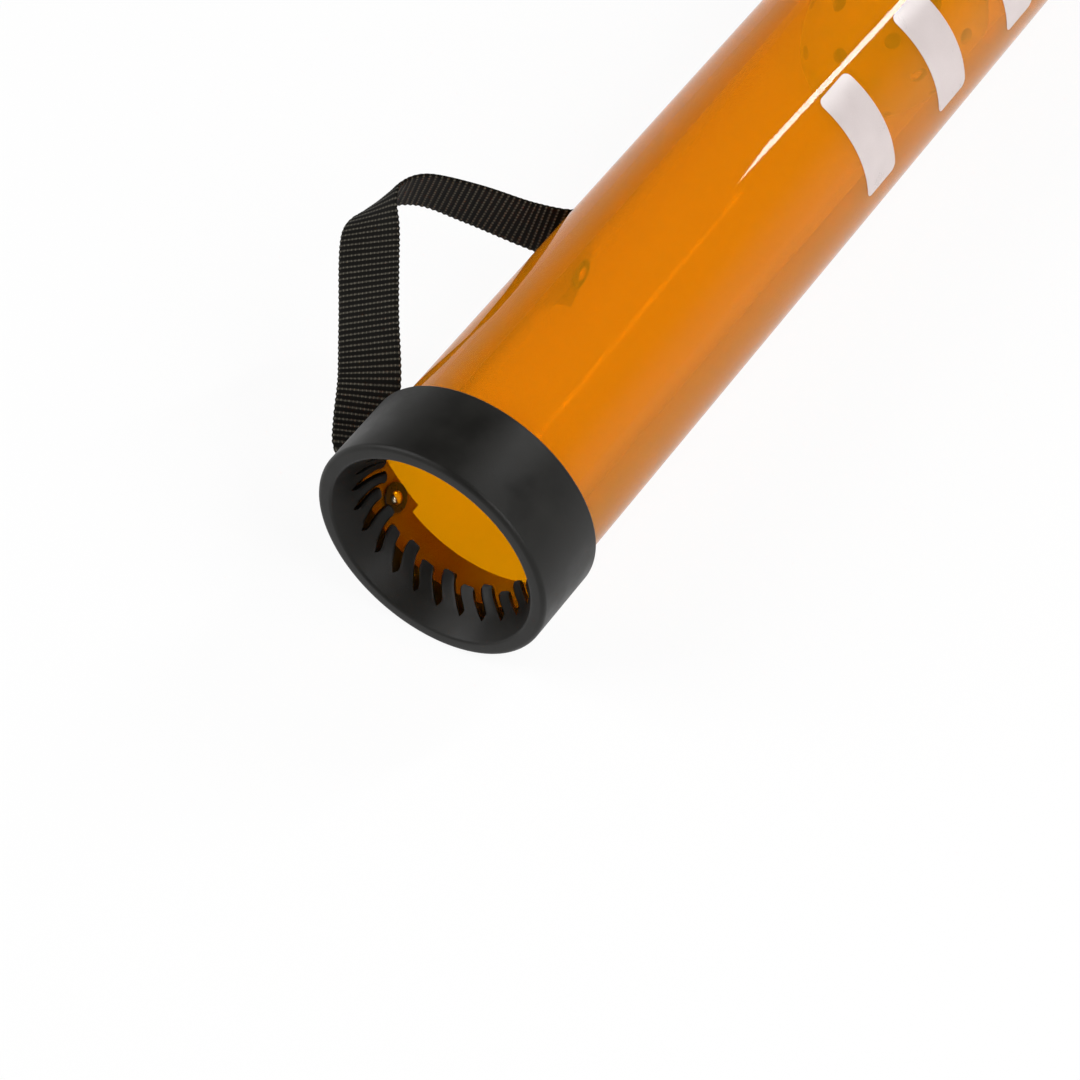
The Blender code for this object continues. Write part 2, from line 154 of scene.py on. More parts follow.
# Each is a centre, as shares of reach, run and rise, and the direction of the strap's width
LOOP_ROUTE = (
    ((0.095, 0.02, 0.16), (0.10, 1.00, 0.00)),
    ((0.21, 0.10, 0.27), (0.62, 0.78, 0.00)),
    ((0.33, 0.20, 0.47), (0.84, 0.54, 0.05)),
    ((0.57, 0.35, 0.68), (0.88, 0.36, 0.22)),
    ((0.87, 0.545, 0.92), (0.76, 0.58, 0.28)),
    ((0.99, 0.645, 1.00), (0.66, 0.46, 0.59)),
    ((1.00, 0.73, 0.97), (0.55, 0.10, 0.83)),
    ((0.86, 0.82, 0.92), (0.35, -0.08, 0.93)),
    ((0.56, 0.89, 0.76), (0.33, 0.06, 0.94)),
    ((0.24, 0.955, 0.56), (0.30, 0.16, 0.94)),
)
ROUTE_STEPS = 10
# Weave: ribs cross the strap, and columns of yarn run along it
RIB_PITCH = 0.0023
RIB_SAMPLES = 6
RIB_HEIGHT = 0.00015
STRAP_COLUMNS = 16
COLUMN_CUTS = 3
COLUMN_DENT = 0.6
YARN_FLOOR = 0.38
SCALLOP = 0.013
STRAP_EDGE_POWER = 12

# Rivets and washers. Each rivet has a depth, an angle and the strap's radius there
LOWER_RIVET = (0.0300, 210.0, LOWER_STRAP_RADIUS)
UPPER_RIVET = (0.1682, 191.5, UPPER_STRAP_RADIUS)
WASHER_RADIUS = 0.0057
WASHER_THICKNESS = 0.0008
WASHER_EDGE = 0.0003
RIVET_SHANK = 0.0020
RIVET_HEAD = 0.0040
RIVET_HEAD_HEIGHT = 0.0016
RIVET_DOME = 0.0027
RIVET_DOME_HEIGHT = 0.0014
RIVET_DOME_STEPS = 8

# End cap
CAP_EDGE = 0.0018
CAP_RIM_EDGE = 0.0009
CAP_DISC_RADIUS = 0.030
CAP_DISC_DEPTH = 0.0006

# Ball
BALL_CENTRE = (BALL_LOW + BALL_HIGH) / 2
BALL_RADIUS = 0.0370
BALL_WALL = 0.0021
BALL_HOLES = 40
BALL_HOLE_RADIUS = 0.0032
BALL_SEGMENTS = 96
BALL_RINGS = 64
DRILL_SEGMENTS = 24
DRILL_DEPTH = BALL_WALL * 6
GOLDEN_ANGLE = math.pi * (3 - math.sqrt(5))

# Printed bars on the tube
BAR_COUNT = 5
BAR_FIRST_DEPTH = 0.2360
BAR_LENGTH = 0.0210
BAR_PITCH = 0.0560
BAR_LOW_ANGLE = 2.0
BAR_HIGH_ANGLE = 64.0
BAR_CORNER = 0.0030
BAR_CORNER_STEPS = 6
BAR_CUTS = 36
BAR_LIFT = 0.00008
BAR_THICKNESS = 0.00006

# Camera
CAMERA_AZIMUTH = 32.4
CAMERA_ELEVATION = 48.8
CAMERA_LENS = 129.0
CAMERA_SENSOR = 36.0
CAMERA_CLIP = 50.0
CAMERA_FROM_MOUTH = Vector((0.5072, -0.7270, 1.0185))

# Studio: a sky that is pale at the horizon and dim overhead, a floor and three lamps
WHITE = (1.0, 1.0, 1.0, 1.0)
SKY_AT_HORIZON = 0.78
SKY_OVERHEAD = 0.12
SKY_FADES_AT = 0.60
FLOOR_SIZE = 12.0
FLOOR_WHITE_SHARE = 0.92
LAMP_AIM_DEPTH = 0.15
# Each lamp's place from the aim, width, length and power
LAMPS = {
    "key": (Vector((-1.4, -1.0, 1.3)), 1.4, 1.4, 28.0),
    "fill": (Vector((1.5, -0.3, 1.3)), 1.2, 1.2, 26.0),
    "streak": (Vector((0.73, 1.50, 1.46)), 0.14, 1.12, 15.0),
}

# Grain: where its mottle runs from dark to light and from gloss to dull, and how it is mixed
GRAIN_TONE_STOPS = (0.45, 0.95)
GRAIN_GLOSS_STOPS = (0.4, 1.0)
GRAIN_FINE_SHARE = 0.4
GRAIN_LIFT = 0.0002


def polar(radius, depth, angle):
    turn = math.radians(angle)
    return Vector((radius * math.cos(turn), MOUTH_Y + depth, radius * math.sin(turn)))


def outward(angle):
    turn = math.radians(angle)
    return Vector((math.cos(turn), 0.0, math.sin(turn)))


def around(angle):
    turn = math.radians(angle)
    return Vector((-math.sin(turn), 0.0, math.cos(turn)))


AXIS_PLACING = Matrix.Translation((0, MOUTH_Y, 0)) @ Matrix.Rotation(-math.pi / 2, 4, "X")


def radial_placing(depth, angle):
    turn = Matrix((ALONG, around(angle), outward(angle))).transposed().to_4x4()
    return Matrix.Translation(polar(0.0, depth, angle)) @ turn


def mesh_object(name, bm):
    mesh = bpy.data.meshes.new(name)
    bm.to_mesh(mesh)
    bm.free()
    made = bpy.data.objects.new(name, mesh)
    bpy.context.collection.objects.link(made)
    return made


def finish_piece(name, bm, material, body, slot, *nodes):
    """Make an object of a mesh that is already in place, and let it ride and stand for its nodes."""
    bmesh.ops.remove_doubles(bm, verts=bm.verts, dist=MERGE_DISTANCE)
    bmesh.ops.recalc_face_normals(bm, faces=bm.faces)
    piece = mesh_object(name, bm)
    piece.data.shade_smooth()
    piece.data.set_sharp_from_angle(angle=SHARP_ANGLE)
    piece.data.materials.append(material)
    if body:
        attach(piece, body)
    if nodes:
        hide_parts(*nodes)
    return piece


def arc(centre, radius, start, end, steps):
    """Points on an arc of a turned outline, as (radius, height)."""
    points = []
    for i in range(steps + 1):
        angle = math.radians(start + (end - start) * i / steps)
        points.append((centre[0] + radius * math.cos(angle), centre[1] + radius * math.sin(angle)))
    return points


def turned(outline, steps, placing, solid_core=False):
    """Turn an outline into a ring, or into a solid where the outline starts and ends on the axis."""
    bm = bmesh.new()
    verts = [bm.verts.new((r, 0.0, h)) for r, h in outline]
    edges = [bm.edges.new(pair) for pair in zip(verts, verts[1:])]
    if not solid_core:
        edges.append(bm.edges.new((verts[-1], verts[0])))
    bmesh.ops.spin(bm, geom=verts + edges, cent=(0, 0, 0), axis=(0, 0, 1), angle=2 * math.pi,
                   steps=steps, use_merge=True)
    bmesh.ops.remove_doubles(bm, verts=bm.verts, dist=MERGE_DISTANCE)
    bmesh.ops.transform(bm, matrix=placing, verts=bm.verts)
    return bm


def thicken(bm, thickness):
    """Give a flat plate a thickness along Z."""
    raised = bmesh.ops.extrude_face_region(bm, geom=bm.faces[:])
    top = [item for item in raised["geom"] if isinstance(item, bmesh.types.BMVert)]
    bmesh.ops.translate(bm, verts=top, vec=(0, 0, thickness))


# Materials


def new_material(name):
    material = bpy.data.materials.new(name)
    material.use_nodes = True
    return material, material.node_tree, material.node_tree.nodes["Principled BSDF"]


def math_node(tree, operation, first, second=None):
    node = tree.nodes.new("ShaderNodeMath")
    node.operation = operation
    for socket, value in zip(node.inputs, (first, second)):
        if value is None:
            continue
        if isinstance(value, (int, float)):
            socket.default_value = value
        else:
            tree.links.new(value, socket)
    return node.outputs[0]


def noise(tree, place, scale, detail):
    node = tree.nodes.new("ShaderNodeTexNoise")
    node.inputs["Scale"].default_value = scale
    node.inputs["Detail"].default_value = detail
    tree.links.new(place, node.inputs["Vector"])
    return node.outputs["Fac"]


def map_range(tree, value, start, end):
    """Map a value from one pair of limits to another."""
    node = tree.nodes.new("ShaderNodeMapRange")
    limits = (*start, *end)
    for socket, limit in zip(("From Min", "From Max", "To Min", "To Max"), limits):
        node.inputs[socket].default_value = limit
    tree.links.new(value, node.inputs["Value"])
    return node


def add_tones(tree, shader, value, stops, dark, light):
    """Colour a shader between two tones as a value passes two stops."""
    tone = tree.nodes.new("ShaderNodeValToRGB")
    for element, stop, colour in zip(tone.color_ramp.elements, stops, (dark, light)):
        element.position = stop
        element.color = (*colour, 1.0)
    tree.links.new(value, tone.inputs["Fac"])
    tree.links.new(tone.outputs["Color"], shader.inputs["Base Color"])


def add_gloss(tree, shader, value, stops, rough):
    gloss = map_range(tree, value, stops, rough)
    tree.links.new(gloss.outputs["Result"], shader.inputs["Roughness"])


def add_bump(tree, shader, height, strength, distance):
    lift = tree.nodes.new("ShaderNodeBump")
    lift.inputs["Strength"].default_value = strength
    lift.inputs["Distance"].default_value = distance
    tree.links.new(height, lift.inputs["Height"])
    tree.links.new(lift.outputs["Normal"], shader.inputs["Normal"])


def show_mix(tree, share, lit, plain, output):
    """Show a lit shader, and a plain one by its share, on a tree's output."""
    mix = tree.nodes.new("ShaderNodeMixShader")
    tree.links.new(share, mix.inputs["Fac"])
    tree.links.new(lit, mix.inputs[1])
    tree.links.new(plain, mix.inputs[2])
    tree.links.new(mix.outputs["Shader"], tree.nodes[output].inputs["Surface"])


def grain_group():
    """Fine moulded grain: a mottled mask and a height, from the piece's own coordinates."""
    tree = bpy.data.node_groups.new("moulded_grain", "ShaderNodeTree")
    tree.interface.new_socket("Vector", in_out="INPUT", socket_type="NodeSocketVector")
    for scale in ("Fine", "Broad"):
        tree.interface.new_socket(scale, in_out="INPUT", socket_type="NodeSocketFloat")
    for result in ("Mottle", "Height"):
        tree.interface.new_socket(result, in_out="OUTPUT", socket_type="NodeSocketFloat")
    inside = tree.nodes.new("NodeGroupInput")
    outside = tree.nodes.new("NodeGroupOutput")
    fine = tree.nodes.new("ShaderNodeTexNoise")
    fine.inputs["Detail"].default_value = 3.0
    broad = tree.nodes.new("ShaderNodeTexNoise")
    broad.inputs["Detail"].default_value = 2.0
    for node, scale in ((fine, "Fine"), (broad, "Broad")):
        tree.links.new(inside.outputs["Vector"], node.inputs["Vector"])
        tree.links.new(inside.outputs[scale], node.inputs["Scale"])
    both = tree.nodes.new("ShaderNodeMath")
    both.operation = "MULTIPLY_ADD"
    tree.links.new(fine.outputs["Fac"], both.inputs[0])
    both.inputs[1].default_value = GRAIN_FINE_SHARE
    tree.links.new(broad.outputs["Fac"], both.inputs[2])
    tree.links.new(both.outputs[0], outside.inputs["Mottle"])
    tree.links.new(fine.outputs["Fac"], outside.inputs["Height"])
    return tree


GRAIN = grain_group()


def add_grain(tree, shader, fine, broad, dark, light, rough, bump):
    """Colour between two tones, roughness between two values and a fine bump, all from the grain."""
    place = tree.nodes.new("ShaderNodeTexCoord")
    grain = tree.nodes.new("ShaderNodeGroup")
    grain.node_tree = GRAIN
    grain.inputs["Fine"].default_value = fine
    grain.inputs["Broad"].default_value = broad
    tree.links.new(place.outputs["Object"], grain.inputs["Vector"])
    add_tones(tree, shader, grain.outputs["Mottle"], GRAIN_TONE_STOPS, dark, light)
    add_gloss(tree, shader, grain.outputs["Mottle"], GRAIN_GLOSS_STOPS, rough)
    add_bump(tree, shader, grain.outputs["Height"], bump, GRAIN_LIFT)


def clear_orange():
    """Clear tinted plastic with the faint waves of a drawn tube."""
    material, tree, shader = new_material("clear_orange")
    shader.inputs["Base Color"].default_value = (0.88, 0.40, 0.001, 1.0)
    shader.inputs["Transmission Weight"].default_value = 0.72
    shader.inputs["IOR"].default_value = 1.33
    place = tree.nodes.new("ShaderNodeTexCoord")
    stretch = tree.nodes.new("ShaderNodeMapping")
    stretch.inputs["Scale"].default_value = (1.0, 0.06, 1.0)
    tree.links.new(place.outputs["Object"], stretch.inputs["Vector"])
    waves = noise(tree, stretch.outputs["Vector"], scale=60.0, detail=1.0)
    add_bump(tree, shader, waves, strength=0.035, distance=0.0005)
    scuffs = noise(tree, stretch.outputs["Vector"], scale=900.0, detail=2.0)
    add_gloss(tree, shader, scuffs, stops=(0.5, 0.8), rough=(0.015, 0.06))
    return material


def black_rubber():
    material, tree, shader = new_material("black_rubber")
    add_grain(tree, shader, fine=2600.0, broad=90.0, dark=(0.0048, 0.0045, 0.0037),
              light=(0.0100, 0.0095, 0.0080), rough=(0.36, 0.52), bump=0.25)
    shader.inputs["Specular IOR Level"].default_value = 0.22
    return material


def washer_black():
    material, tree, shader = new_material("washer_black")
    add_grain(tree, shader, fine=3000.0, broad=300.0, dark=(0.008, 0.008, 0.008),
              light=(0.018, 0.017, 0.016), rough=(0.22, 0.38), bump=0.08)
    return material


def rivet_metal():
    material, tree, shader = new_material("rivet_metal")
    add_grain(tree, shader, fine=4000.0, broad=500.0, dark=(0.78, 0.64, 0.40),
              light=(0.92, 0.84, 0.68), rough=(0.14, 0.26), bump=0.05)
    shader.inputs["Metallic"].default_value = 1.0
    return material


def ball_plastic():
    material, tree, shader = new_material("ball_plastic")
    add_grain(tree, shader, fine=1500.0, broad=120.0, dark=(0.72, 0.88, 0.008),
              light=(0.86, 0.95, 0.02), rough=(0.45, 0.60), bump=0.20)
    shader.inputs["Subsurface Weight"].default_value = 0.15
    shader.inputs["Subsurface Radius"].default_value = (0.004, 0.004, 0.001)
    return material


def white_ink():
    material, tree, shader = new_material("white_ink")
    add_grain(tree, shader, fine=1800.0, broad=60.0, dark=(0.56, 0.49, 0.48),
              light=(0.62, 0.55, 0.54), rough=(0.25, 0.36), bump=0.03)
    return material


def black_webbing():
    """Woven strap with a painted highlight: on each rib, the yarn that comes up in every column is
    coloured lighter, as if it caught more light.
    """
    material, tree, shader = new_material("black_webbing")
    uv = tree.nodes.new("ShaderNodeUVMap")
    uv.uv_map = "weave"
    split = tree.nodes.new("ShaderNodeSeparateXYZ")
    tree.links.new(uv.outputs["UV"], split.inputs["Vector"])
    columns = math_node(tree, "MULTIPLY", split.outputs["X"], 2 * math.pi * STRAP_COLUMNS)
    centred = math_node(tree, "MULTIPLY", math_node(tree, "COSINE", columns), -1.0)
    yarn = math_node(tree, "MAXIMUM", centred, YARN_FLOOR)
    ribs = math_node(tree, "MULTIPLY", split.outputs["Y"], 2 * math.pi)
    crest = math_node(tree, "MAXIMUM", math_node(tree, "COSINE", ribs), 0.0)
    raised = math_node(tree, "MULTIPLY", yarn, crest)
    place = tree.nodes.new("ShaderNodeTexCoord")
    fuzz = noise(tree, place.outputs["Object"], scale=1400.0, detail=3.0)
    # Painted highlight: the colour lightens on rib crests where the yarn comes up
    painted_crest_highlight = math_node(tree, "MULTIPLY", raised, fuzz)
    add_tones(tree, shader, painted_crest_highlight, stops=(0.05, 0.42), dark=(0.0038, 0.0032, 0.0024),
              light=(0.110, 0.101, 0.080))
    add_bump(tree, shader, fuzz, strength=0.35, distance=0.0002)
    shader.inputs["Roughness"].default_value = 0.62
    shader.inputs["Specular IOR Level"].default_value = 0.08
    return material


CLEAR_ORANGE = clear_orange()
BLACK_RUBBER = black_rubber()
WASHER_BLACK = washer_black()
RIVET_METAL = rivet_metal()
BALL_PLASTIC = ball_plastic()
WHITE_INK = white_ink()
BLACK_WEBBING = black_webbing()


# Tube and its print


def make_tube():
    front = TUBE_FRONT_DEPTH + TUBE_EDGE
    back = TUBE_BACK_DEPTH - TUBE_EDGE
    outline = (
        arc((TUBE_RADIUS - TUBE_EDGE, back), TUBE_EDGE, 90, 0, TUBE_EDGE_STEPS)
        + arc((TUBE_RADIUS - TUBE_EDGE, front), TUBE_EDGE, 0, -90, TUBE_EDGE_STEPS)
        + arc((TUBE_BORE + TUBE_EDGE, front), TUBE_EDGE, -90, -180, TUBE_EDGE_STEPS)
        + arc((TUBE_BORE + TUBE_EDGE, back), TUBE_EDGE, 180, 90, TUBE_EDGE_STEPS)
    )
    finish_piece("tube_wall", turned(outline, TURN_STEPS, AXIS_PLACING), CLEAR_ORANGE, "tube_body",
                 "tube_plastic", "tube")


def wrap_on_tube(bm, radius):
    """Bend a flat plate, drawn in depth (x) and length round the tube (y), onto the tube."""
    for vert in bm.verts:
        angle = math.degrees(vert.co.y / TUBE_RADIUS)
        vert.co = polar(radius + vert.co.z, vert.co.x, angle)


def make_bar(index):
    low = math.radians(BAR_LOW_ANGLE) * TUBE_RADIUS
    high = math.radians(BAR_HIGH_ANGLE) * TUBE_RADIUS
    start = BAR_FIRST_DEPTH + index * BAR_PITCH
    bm = bmesh.new()
    corners = [(start, low), (start + BAR_LENGTH, low), (start + BAR_LENGTH, high), (start, high)]
    bm.faces.new([bm.verts.new((x, y, 0.0)) for x, y in corners])
    bmesh.ops.bevel(bm, geom=bm.verts[:], offset=BAR_CORNER, segments=BAR_CORNER_STEPS, profile=0.5,
                    affect="VERTICES", material=-1)
    for i in range(1, BAR_CUTS):
        plane = Vector((0.0, low + (high - low) * i / BAR_CUTS, 0.0))
        bmesh.ops.bisect_plane(bm, geom=bm.verts[:] + bm.edges[:] + bm.faces[:], plane_co=plane,
                               plane_no=(0, 1, 0))
    thicken(bm, BAR_THICKNESS)
    wrap_on_tube(bm, TUBE_RADIUS + BAR_LIFT)
    finish_piece("print_bar_%d" % (index + 1), bm, WHITE_INK, "tube_body", "tube_plastic")


# Mouth


def skirt_side(thickness):
    return Vector((SKIRT_RUN.y, -SKIRT_RUN.x)) * (thickness / 2)


def make_collar():
    """Sleeve, rolled lip, skirt and liner in one outline; the liner is a dark layer against the tube's
    bore behind the finger roots, put there as painted shade that darkens the slits. The lip runs
    smoothly into the skirt.
    """
    front = COLLAR_FRONT_EDGE
    back = COLLAR_BACK_EDGE
    lip = COLLAR_LIP_EDGE
    side = skirt_side(RUBBER_THICKNESS)
    normal = side.normalized()
    inner_end = SKIRT_END - side
    outer_end = SKIRT_END + side
    lip_radius = (normal.dot(inner_end) + lip * (1 - normal.y)) / normal.x
    skirt_turn = math.degrees(math.atan2(-normal.y, -normal.x))
    lip_back = TUBE_FRONT_DEPTH - CLEARANCE
    outline = (
        arc((COLLAR_RADIUS - back, COLLAR_LENGTH - back), back, 90, 0, RIM_EDGE_STEPS)
        + arc((COLLAR_RADIUS - front, front), front, 0, -90, BROAD_EDGE_STEPS)
        + arc((lip_radius, lip), lip, -90, skirt_turn, BROAD_EDGE_STEPS)
        + [(inner_end.x, inner_end.y), (outer_end.x, outer_end.y)]
        # The liner: painted shade behind the finger roots
        + [(SHADE_LINER_BORE, SHADE_LINER_FRONT), (SHADE_LINER_BORE, SHADE_LINER_BACK), (SHADE_LINER_RADIUS, SHADE_LINER_BACK)]
        + [(SHADE_LINER_RADIUS, lip_back), (SLEEVE_BORE, lip_back), (SLEEVE_BORE, COLLAR_LENGTH)]
    )
    finish_piece("collar_rubber", turned(outline, TURN_STEPS, AXIS_PLACING), BLACK_RUBBER, "tube_body",
                 "rubber", "mouth_collar")


def slit_width(share):
    opened = min(share / SLIT_WIDEST_AT, 1.0)
    return SLIT_ROOT_WIDTH + (SLIT_WIDTH - SLIT_ROOT_WIDTH) * math.sin(opened * math.pi / 2)


def finger_half_width(share, radius):
    half = (2 * math.pi * radius / FINGER_COUNT - slit_width(share)) / 2
    if share > FINGER_ROUND_FROM:
        past = (share - FINGER_ROUND_FROM) / (1 - FINGER_ROUND_FROM)
        half -= FINGER_TIP_ROUND * (1 - math.sqrt(max(1 - past * past, 0.0)))
    return half


def finger_middle(share, reach):
    """The finger's middle line: it leaves the skirt smoothly and bends in to its tip."""
    knee = SKIRT_RUN * (reach.length * FINGER_KNEE_SHARE)
    return SKIRT_END + knee * (2 * share * (1 - share)) + reach * share**2


def make_finger(index):
    """A grid with a thickness, bent along the finger's middle line, with eased edges."""
    reach = FINGER_REACHES[index % 2]
    root_angle = FIRST_ROOT_ANGLE + index * 360 / FINGER_COUNT
    bm = bmesh.new()
    bmesh.ops.create_grid(bm, x_segments=FINGER_COLUMNS, y_segments=FINGER_ROWS, size=1.0)
    thicken(bm, 1)
    for vert in bm.verts:
        share = (vert.co.y + 1) / 2
        middle = finger_middle(share, reach)
        run = finger_middle(share + FINGER_NUDGE, reach) - finger_middle(share - FINGER_NUDGE, reach)
        run.normalize()
        thickness = RUBBER_THICKNESS + (FINGER_TIP_THICKNESS - RUBBER_THICKNESS) * share
        place = middle + Vector((run.y, -run.x)) * (thickness * (vert.co.z - 0.5))
        lean = FINGER_LEAN * share * share * (3 - 2 * share)
        spread = math.degrees(finger_half_width(share, middle.x) / middle.x) * vert.co.x
        vert.co = polar(place.x, place.y, root_angle + lean + spread)
    past_root = MOUTH_Y + SKIRT_END.y + FINGER_EASE_FROM
    rims = [edge for edge in bm.edges if edge.calc_face_angle() > FINGER_SHARP
            and min(vert.co.y for vert in edge.verts) > past_root]
    bmesh.ops.bevel(bm, geom=rims, offset=FINGER_EASE, segments=FINGER_EASE_STEPS, profile=0.5,
                    affect="EDGES", material=-1, clamp_overlap=True)
    name = "finger_%02d" % (index + 1)
    piece = finish_piece(name + "_rubber", bm, BLACK_RUBBER, None, "rubber", name)
    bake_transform(piece)


# Strap


def smooth_row(points, steps):
    """Even steps along a smooth curve through the points."""
    row = []
    last = len(points) - 1
    for i in range(last):
        before = points[max(i - 1, 0)]
        after = points[min(i + 2, last)]
        for k in range(steps):
            t = k / steps
            near = (points[i + 1] - before) / 2
            far = (after - points[i]) / 2
            row.append(points[i] * (2 * t**3 - 3 * t**2 + 1) + near * (t**3 - 2 * t**2 + t)
                       + points[i + 1] * (3 * t**2 - 2 * t**3) + far * (t**3 - t**2))
    row.append(points[last])
    return row


def skewed_width(angle, skew):
    """A width direction on the tube's side, turned from the tube's run by a skew."""
    turn = math.radians(skew)
    return ALONG * math.cos(turn) - around(angle) * math.sin(turn)


def strap_route():
    """Centres and width directions from the lower cut end, round the loop, to the upper cut end."""
    centres = []
    widths = []
    for i in range(LOWER_TAB_STEPS):
        angle = LOWER_TAIL_ANGLE + (LOWER_LEAVE_ANGLE - LOWER_TAIL_ANGLE) * i / LOWER_TAB_STEPS
        centres.append(polar(LOWER_STRAP_RADIUS, LOWER_TAB_DEPTH, angle))
        widths.append(ALONG)
    lower = polar(LOWER_STRAP_RADIUS, LOWER_TAB_DEPTH, LOWER_LEAVE_ANGLE)
    upper = polar(UPPER_LEAVE_RADIUS, UPPER_LEAVE_DEPTH, UPPER_LEAVE_ANGLE)
    stretch = Vector((-STRAP_REACH, upper.y - lower.y, STRAP_RISE))
    centres.append(lower)
    widths.append(ALONG)
    for shares, width in LOOP_ROUTE:
        centres.append(lower + stretch * Vector(shares))
        widths.append(Vector(width))
    centres.append(upper)
    widths.append(skewed_width(UPPER_LEAVE_ANGLE, UPPER_LEAVE_SKEW))
    for run, angle, skew in UPPER_TAB:
        centres.append(polar(UPPER_STRAP_RADIUS, UPPER_LEAVE_DEPTH + run, angle))
        widths.append(skewed_width(angle, skew))
    return smooth_row(centres, ROUTE_STEPS), smooth_row(widths, ROUTE_STEPS)


def even_stations(centres, widths, step):
    """The route cut into even steps, each with a centre, a width direction and a run."""
    lengths = [0.0]
    for near, far in zip(centres, centres[1:]):
        lengths.append(lengths[-1] + (far - near).length)
    count = round(lengths[-1] / step)
    stations = []
    i = 0
    for k in range(count + 1):
        reached = lengths[-1] * k / count
        while i < len(lengths) - 2 and lengths[i + 1] < reached:
            i += 1
        share = (reached - lengths[i]) / (lengths[i + 1] - lengths[i])
        run = (centres[i + 1] - centres[i]).normalized()
        centre = centres[i].lerp(centres[i + 1], share)
        width = widths[i].lerp(widths[i + 1], share)
        stations.append((centre, width, run))
    return stations, lengths[-1]


def strap_height(across, ribs):
    """How far a yarn stands up: ribs cross the strap, and each column dents them."""
    columns = (across + 1) / 2 * STRAP_COLUMNS
    dent = 1 - COLUMN_DENT * (1 + math.cos(2 * math.pi * columns)) / 2
    return RIB_HEIGHT * math.cos(2 * math.pi * ribs) * dent


def make_strap():
    """A grid along the route, whose two halves are the strap's faces and meet at its long edges."""
    stations, length = even_stations(*strap_route(), RIB_PITCH / RIB_SAMPLES)
    cuts = STRAP_COLUMNS * COLUMN_CUTS
    bm = bmesh.new()
    bmesh.ops.create_grid(bm, x_segments=2 * cuts, y_segments=len(stations) - 1, size=1.0)
    uv = bm.loops.layers.uv.new("weave")
    ribs_in_all = length / RIB_PITCH
    for face in bm.faces:
        for loop in face.loops:
            loop[uv].uv = (abs(loop.vert.co.x), (loop.vert.co.y + 1) / 2 * ribs_in_all)
    for vert in bm.verts:
        place = round((vert.co.y + 1) / 2 * (len(stations) - 1))
        centre, width, run = stations[place]
        side = 1 if vert.co.x > 0 else -1
        across = 2 * abs(vert.co.x) - 1
        ribs = place / RIB_SAMPLES
        edge = math.sqrt(max(1 - across**STRAP_EDGE_POWER, 0.0))
        half = STRAP_WIDTH / 2 * (1 + SCALLOP * (math.cos(2 * math.pi * ribs) - 1))
        turned_width = (width - run * width.dot(run)).normalized()
        face_way = run.cross(turned_width)
        height = side * STRAP_THICKNESS / 2 * edge + strap_height(across, ribs)
        vert.co = centre + turned_width * (across * half) + face_way * height
    bmesh.ops.remove_doubles(bm, verts=bm.verts, dist=MERGE_DISTANCE)
    rims = [edge for edge in bm.edges if edge.is_boundary]
    bmesh.ops.holes_fill(bm, edges=rims, sides=0)
    piece = finish_piece("strap_webbing", bm, BLACK_WEBBING, None, "webbing", "strap_tab_lower",
                         "strap_loop", "strap_tab_upper")
    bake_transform(piece)


# Rivets and washers


def make_rivet(place, depth, angle, strap_radius):
    placing = radial_placing(depth, angle)
    sag = TUBE_BORE - math.sqrt(TUBE_BORE**2 - WASHER_RADIUS**2)
    washer_top = TUBE_BORE - sag - SNUG_GAP
    washer_foot = washer_top - WASHER_THICKNESS
    outer_foot = strap_radius + STRAP_THICKNESS / 2 + CLEARANCE
    outer_top = outer_foot + WASHER_THICKNESS
    edge = WASHER_EDGE
    for side, foot, top in (("inner", washer_foot, washer_top), ("outer", outer_foot, outer_top)):
        outline = (
            arc((WASHER_RADIUS - edge, top - edge), edge, 90, 0, SMALL_EDGE_STEPS)
            + arc((WASHER_RADIUS - edge, foot + edge), edge, 0, -90, SMALL_EDGE_STEPS)
            + [(RIVET_SHANK, foot), (RIVET_SHANK, top)]
        )
        name = "washer_%s_%s" % (side, place)
        finish_piece(name + "_ring", turned(outline, SMALL_STEPS, placing), WASHER_BLACK, "tube_body",
                     "washer", name)
    turns = [math.pi / 2 * i / RIVET_DOME_STEPS for i in range(RIVET_DOME_STEPS + 1)]
    outline = [(0.0, outer_top + RIVET_HEAD_HEIGHT)]
    for turn in turns[1:]:
        outline.append((RIVET_HEAD * math.sin(turn), outer_top + RIVET_HEAD_HEIGHT * math.cos(turn)))
    outline += [(RIVET_SHANK, outer_top), (RIVET_SHANK, washer_foot)]
    for turn in turns[:-1]:
        outline.append((RIVET_DOME * math.cos(turn), washer_foot - RIVET_DOME_HEIGHT * math.sin(turn)))
    outline.append((0.0, washer_foot - RIVET_DOME_HEIGHT))
    name = "rivet_" + place
    finish_piece(name + "_metal", turned(outline, SMALL_STEPS, placing, solid_core=True), RIVET_METAL,
                 "tube_body", "rivet_metal", name)


# End cap


def make_cap():
    """A cup over the tube's end, with a shallow disc sunk in its face."""
    edge = CAP_EDGE
    rim = CAP_RIM_EDGE
    step = CAP_DISC_DEPTH
    floor = TUBE_BACK_DEPTH + CLEARANCE
    outline = (
        [(0.0, CAP_FACE_DEPTH - step), (CAP_DISC_RADIUS, CAP_FACE_DEPTH - step)]
        + arc((CAP_DISC_RADIUS + 2 * step, CAP_FACE_DEPTH - step), step, 180, 90, SMALL_EDGE_STEPS)
        + arc((COLLAR_RADIUS - edge, CAP_FACE_DEPTH - edge), edge, 90, 0, BROAD_EDGE_STEPS)
        + arc((COLLAR_RADIUS - rim, CAP_RIM_DEPTH + rim), rim, 0, -90, RIM_EDGE_STEPS)
        + [(SLEEVE_BORE, CAP_RIM_DEPTH), (SLEEVE_BORE, floor), (0.0, floor)]
    )
    finish_piece("end_cap_rubber", turned(outline, TURN_STEPS, AXIS_PLACING, solid_core=True),
                 BLACK_RUBBER, "cap", "rubber", "end_cap")


# Ball


def ball_shell(radius):
    bm = bmesh.new()
    made = bmesh.ops.create_uvsphere(bm, u_segments=BALL_SEGMENTS, v_segments=BALL_RINGS, radius=radius)
    bmesh.ops.translate(bm, verts=made["verts"], vec=BALL_CENTRE)
    return bm


